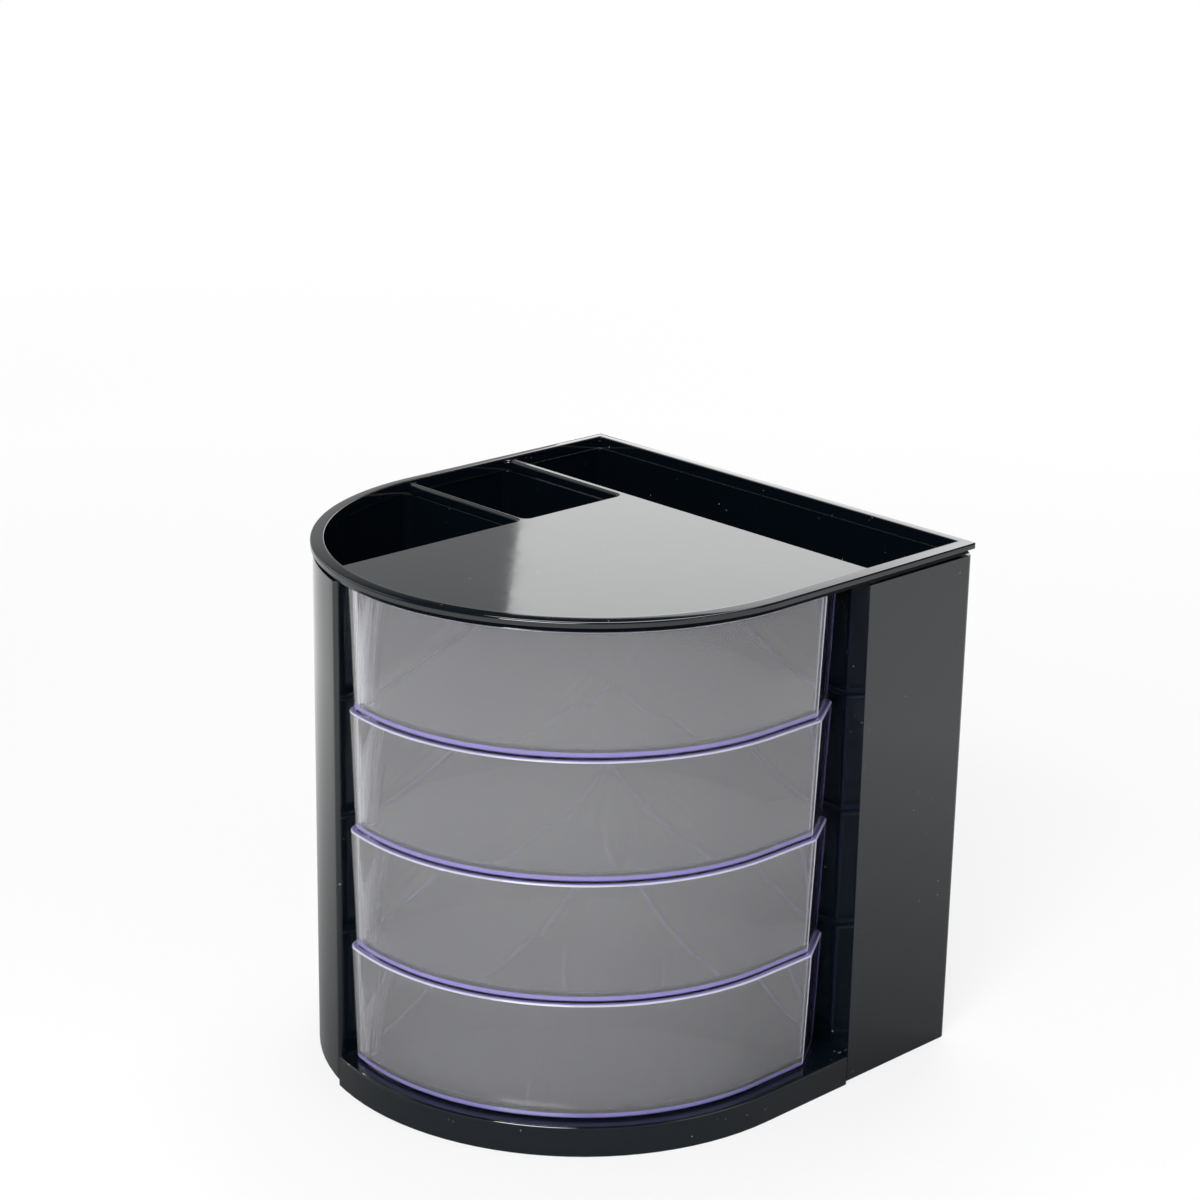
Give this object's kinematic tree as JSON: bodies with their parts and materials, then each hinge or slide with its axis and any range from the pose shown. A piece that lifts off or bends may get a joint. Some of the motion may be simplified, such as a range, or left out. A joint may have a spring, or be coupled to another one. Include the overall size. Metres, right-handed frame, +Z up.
{
  "type": "pen holder with drawers",
  "caption": "D-shaped desk pen holder with pen cells and a note box, and a stack of clear drawers that swing out on a rod at the front left",
  "frame": {"origin": "on the desk, under the middle of the whole holder's box", "axes": "+Z up, +Y from the half-round front to the flat back with the note box, +X to the side where the drawers open"},
  "size_m": [0.1104, 0.112, 0.11],
  "materials": {
    "black_polystyrene": "black polystyrene with a high gloss",
    "clear_polystyrene": "clear polystyrene with polished faces",
    "bright_steel": "bright drawn wire"
  },
  "bodies": {
    "holder": {"main_body": "black_polystyrene", "top_cover": "black_polystyrene", "base": "black_polystyrene", "pivot_rod": "bright_steel"},
    "drawer_1": {"drawer_1": "clear_polystyrene"},
    "drawer_2": {"drawer_2": "clear_polystyrene"},
    "drawer_3": {"drawer_3": "clear_polystyrene"},
    "drawer_4": {"drawer_4": "clear_polystyrene"}
  },
  "joints": [
    {"name": "drawer_1_swing", "type": "hinge", "parent": "holder", "child": "drawer_1", "pos_m": [-0.0091, -0.04945, 0], "axis": [0, 0, -1], "range_deg": [0, 90]},
    {"name": "drawer_2_swing", "type": "hinge", "parent": "holder", "child": "drawer_2", "pos_m": [-0.0091, -0.04945, 0], "axis": [0, 0, -1], "range_deg": [0, 90]},
    {"name": "drawer_3_swing", "type": "hinge", "parent": "holder", "child": "drawer_3", "pos_m": [-0.0091, -0.04945, 0], "axis": [0, 0, -1], "range_deg": [0, 90]},
    {"name": "drawer_4_swing", "type": "hinge", "parent": "holder", "child": "drawer_4", "pos_m": [-0.0091, -0.04945, 0], "axis": [0, 0, -1], "range_deg": [0, 90]}
  ]
}
